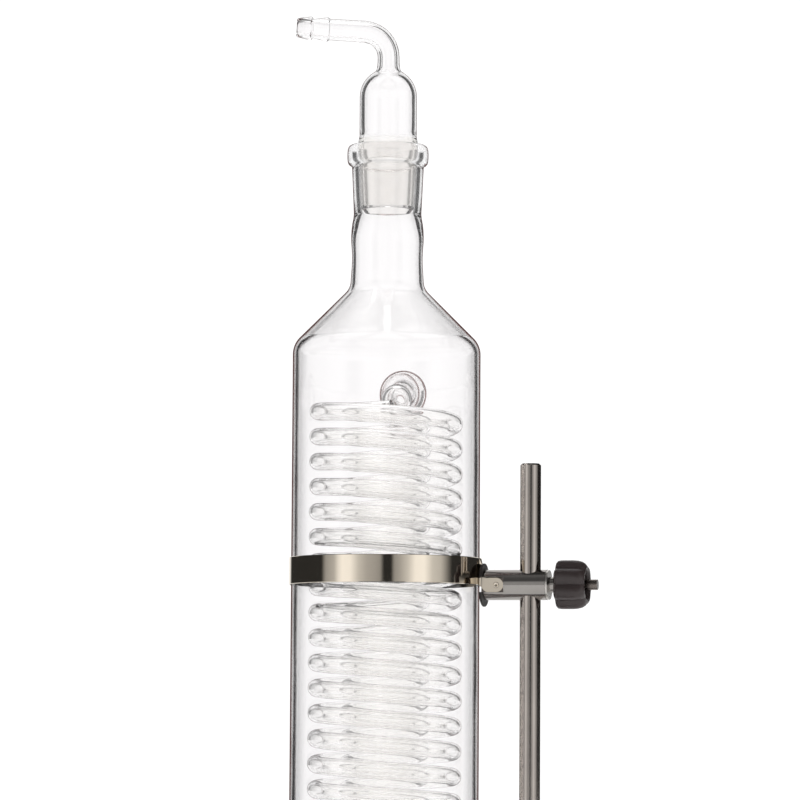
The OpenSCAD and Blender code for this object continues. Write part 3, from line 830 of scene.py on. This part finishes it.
def make_rivet():
    """A low rivet through the two tongues."""
    reach = 1.5 * MM
    outline = [(1e-6, -reach - 0.06 * MM), (1.2 * MM, -reach - 0.05 * MM), (1.4 * MM, -reach),
               (1.4 * MM, reach), (1.2 * MM, reach + 0.05 * MM), (1e-6, reach + 0.06 * MM)]
    rivet = lathe("tongue_rivet", outline, Vector((RIVET_S, 0, 0)), [BAND_STEEL], 32, "Y")
    rivet.data.transform(ARM_FRAME)
    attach(rivet, "clamp")
    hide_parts("band_rivet")


make_band()
make_knob()
make_disc()
make_rivet()


# ---------- stand ----------

def make_rod():
    r = (ROD_HI.x - ROD_LO.x) / 2
    top = ROD_HI.z
    plate_top = PLATE_HI.z
    outline = [(1e-6, ROD_LO.z), (3.4 * MM, ROD_LO.z), (4 * MM, ROD_LO.z + 0.6 * MM), (4 * MM, plate_top),
               (4.6 * MM, plate_top + 0.05 * MM), (r, plate_top + 0.5 * MM), (r, plate_top + 2 * MM),
               (r, top - 3 * MM), (r, top - 0.8 * MM), (r - 0.7 * MM, top), (1e-6, top)]
    rod = lathe("rod_bar", outline, ROD, [ROD_STEEL], 96)
    soften(rod, 40)
    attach(rod, "rod")
    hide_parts("stand_rod")


def make_plate():
    """The cast base: rounded in plan, with a soft top edge."""
    bm = bmesh.new()
    half_x = (PLATE_HI.x - PLATE_LO.x) / 2
    half_y = (PLATE_HI.y - PLATE_LO.y) / 2
    corner = 12 * MM
    levels = [(0.6, 0.0), (0.0, 0.6), (0.0, 7.0), (0.35, 8.6), (1.4, 9.65), (3.0, 10.0)]
    loops = []
    for inset, rise in levels:
        loop = []
        for cx, cy, a0 in ((1, 1, 0), (-1, 1, 90), (-1, -1, 180), (1, -1, 270)):
            for i in range(9):
                a = math.radians(a0 + 90 * i / 8)
                r = corner - inset * MM
                x = cx * (half_x - corner) + r * math.cos(a)
                y = cy * (half_y - corner) + r * math.sin(a)
                loop.append(bm.verts.new((x, y, PLATE_LO.z + rise * MM)))
        loops.append(loop)
    skin(bm, loops)
    bm.faces.new(loops[0][::-1])
    bm.faces.new(loops[-1])
    plate = finish_mesh(bm, "base_casting", [ENAMEL])
    soften(plate, 40)
    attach(plate, "stand_base")
    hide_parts("base_plate")


make_rod()
make_plate()


# ---------- CAD nodes that stay ----------

def repaint(node, material):
    obj = frame["nodes"][node]
    obj.data.materials.clear()
    obj.data.materials.append(material)


repaint("base_pad", RUBBER)
repaint("rod_washer", ZINC)
repaint("rod_nut", ZINC)
repaint("boss_sleeve", CLAMP_STEEL)
repaint("draw_bolt", BOLT_STEEL)
repaint("band_liner", BLACK_FIBRE)
repaint("thrust_washer", ZINC)
repaint("knob_hub", CLAMP_STEEL)
repaint("joint_sleeve", SLEEVE_PLASTIC)


# ---------- floor and light ----------

def make_floor():
    bm = bmesh.new()
    half = 12.0
    plan = ((-half, -half), (half, -half), (half, half), (-half, half))
    bm.faces.new([bm.verts.new((x, y, -0.2 * MM)) for x, y in plan])
    material, tree = new_material("floor_paper")
    body = add(tree, "ShaderNodeBsdfDiffuse", inputs={"Color": grey(0.97)})
    finish_shader(tree, body.outputs["BSDF"])
    floor = finish_mesh(bm, "floor", [material], smooth=False)


# Brightness by compass direction, in degrees from +X towards +Y: WINDOWS is what glass looks through, and
# SOFTBOXES what metal mirrors. HEIGHTS scales the first by height, 0 straight down to 1 straight up, and
# FRONT_HEIGHTS and BACK_HEIGHTS scale the second in front of and behind the object.
WINDOWS = [(-180, 1.02), (-152, 1.0), (-138, 0.3), (-130, 0.3), (-116, 1.0), (-64, 1.0), (-50, 0.3),
           (-42, 0.3), (-28, 1.0), (30, 1.0), (42, 0.10), (63, 0.10), (67, 0.94), (78, 1.03),
           (90, 1.05), (102, 1.03), (113, 0.94), (117, 0.10), (138, 0.10), (150, 1.0), (180, 1.02)]
SOFTBOXES = [(-180, 0.03), (-171, 0.03), (-165, 0.38), (-153, 0.56), (-147, 1.0), (-142, 1.2), (-132, 1.15),
             (-122, 0.70), (-112, 0.50), (-102, 0.43), (-96, 0.36), (-92, 0.03), (-83, 0.03), (-79, 0.36),
             (-73, 0.46), (-63, 0.72), (-54, 1.15), (-43, 1.2), (-32, 0.72), (-21, 0.60), (-9, 0.16),
             (-4, 0.03), (60, 0.03), (68, 1.1), (112, 1.1), (120, 0.03), (180, 0.03)]
PEAK = 1.2  # the brightest compass direction
SKY = 2.0  # the brightest height
PLAIN = 1.1  # what the camera sees behind everything
HEIGHTS = [(0.0, 0.9), (0.44, 1.0), (0.65, 1.0), (0.71, 0.84), (0.84, 0.84), (0.92, 2.0), (1.0, 2.0)]
FRONT_HEIGHTS = [(0.0, 0.3), (0.28, 0.3), (0.36, 1.0), (0.64, 1.0), (0.74, 0.2), (1.0, 0.2)]
BACK_HEIGHTS = [(0.0, 0.8), (0.44, 1.0), (0.86, 1.0), (1.0, 0.9)]
SIDE_BLEND = 0.15


def brightness(tree, source, stops):
    node = ramp(tree, [(place, grey(level)) for place, level in stops])
    tree.links.new(source, node.inputs["Fac"])
    return node.outputs["Color"]


def by_compass(tree, around, stops):
    return brightness(tree, around, [((degrees + 180) / 360, level / PEAK) for degrees, level in stops])


def by_height(tree, up, stops):
    return brightness(tree, up, [(place, level / SKY) for place, level in stops])


def blend(tree, kind, factor, one, two):
    node = add(tree, "ShaderNodeMix", data_type="RGBA", blend_type=kind)
    if isinstance(factor, float):
        node.inputs["Factor"].default_value = factor
    else:
        tree.links.new(factor, node.inputs["Factor"])
    tree.links.new(one, node.inputs["A"])
    tree.links.new(two, node.inputs["B"])
    return node.outputs["Result"]


def make_world():
    """A white studio with dark flags between its windows; metal mirrors two softboxes beside the camera."""
    world = bpy.data.worlds.new("studio")
    bpy.context.scene.world = world
    world.use_nodes = True
    world.cycles.sampling_method = "NONE"
    tree = world.node_tree
    tree.nodes.clear()
    coords = add(tree, "ShaderNodeTexCoord")
    parts = add(tree, "ShaderNodeSeparateXYZ")
    tree.links.new(coords.outputs["Generated"], parts.inputs["Vector"])
    compass = add(tree, "ShaderNodeMath", operation="ARCTAN2")
    tree.links.new(parts.outputs["Y"], compass.inputs[0])
    tree.links.new(parts.outputs["X"], compass.inputs[1])
    share = add(tree, "ShaderNodeMapRange", inputs={1: -math.pi, 2: math.pi, 3: 0.0, 4: 1.0})
    tree.links.new(compass.outputs["Value"], share.inputs["Value"])
    height = add(tree, "ShaderNodeMapRange", inputs={1: -1.0, 2: 1.0, 3: 0.0, 4: 1.0})
    tree.links.new(parts.outputs["Z"], height.inputs["Value"])
    around, up = share.outputs["Result"], height.outputs["Result"]
    clear = blend(tree, "MULTIPLY", 1.0, by_compass(tree, around, WINDOWS), by_height(tree, up, HEIGHTS))
    boxes = by_compass(tree, around, SOFTBOXES)
    front = blend(tree, "MULTIPLY", 1.0, boxes, by_height(tree, up, FRONT_HEIGHTS))
    back = blend(tree, "MULTIPLY", 1.0, boxes, by_height(tree, up, BACK_HEIGHTS))
    behind = add(tree, "ShaderNodeMapRange", inputs={1: -SIDE_BLEND, 2: SIDE_BLEND, 3: 0.0, 4: 1.0})
    tree.links.new(parts.outputs["Y"], behind.inputs["Value"])
    mirrored = blend(tree, "MIX", behind.outputs["Result"], front, back)
    path = add(tree, "ShaderNodeLightPath")
    reflected = add(tree, "ShaderNodeMath", operation="SUBTRACT", use_clamp=True)
    tree.links.new(path.outputs["Is Glossy Ray"], reflected.inputs[0])
    tree.links.new(path.outputs["Is Transmission Ray"], reflected.inputs[1])
    colour = blend(tree, "MIX", reflected.outputs["Value"], clear, mirrored)
    plain = add(tree, "ShaderNodeRGB")
    plain.outputs["Color"].default_value = grey(PLAIN / SKY / PEAK)
    seen = blend(tree, "MIX", path.outputs["Is Camera Ray"], colour, plain.outputs["Color"])
    background = add(tree, "ShaderNodeBackground", inputs={"Strength": PEAK * SKY})
    tree.links.new(seen, background.inputs["Color"])
    output = add(tree, "ShaderNodeOutputWorld")
    tree.links.new(background.outputs["Background"], output.inputs["Surface"])


make_floor()
make_world()

scene = bpy.context.scene
scene.view_settings.view_transform = "Standard"
scene.cycles.max_bounces = 40
scene.cycles.transmission_bounces = 40
scene.cycles.glossy_bounces = 12
scene.cycles.transparent_max_bounces = 48
scene.cycles.caustics_refractive = True
scene.cycles.caustics_reflective = True
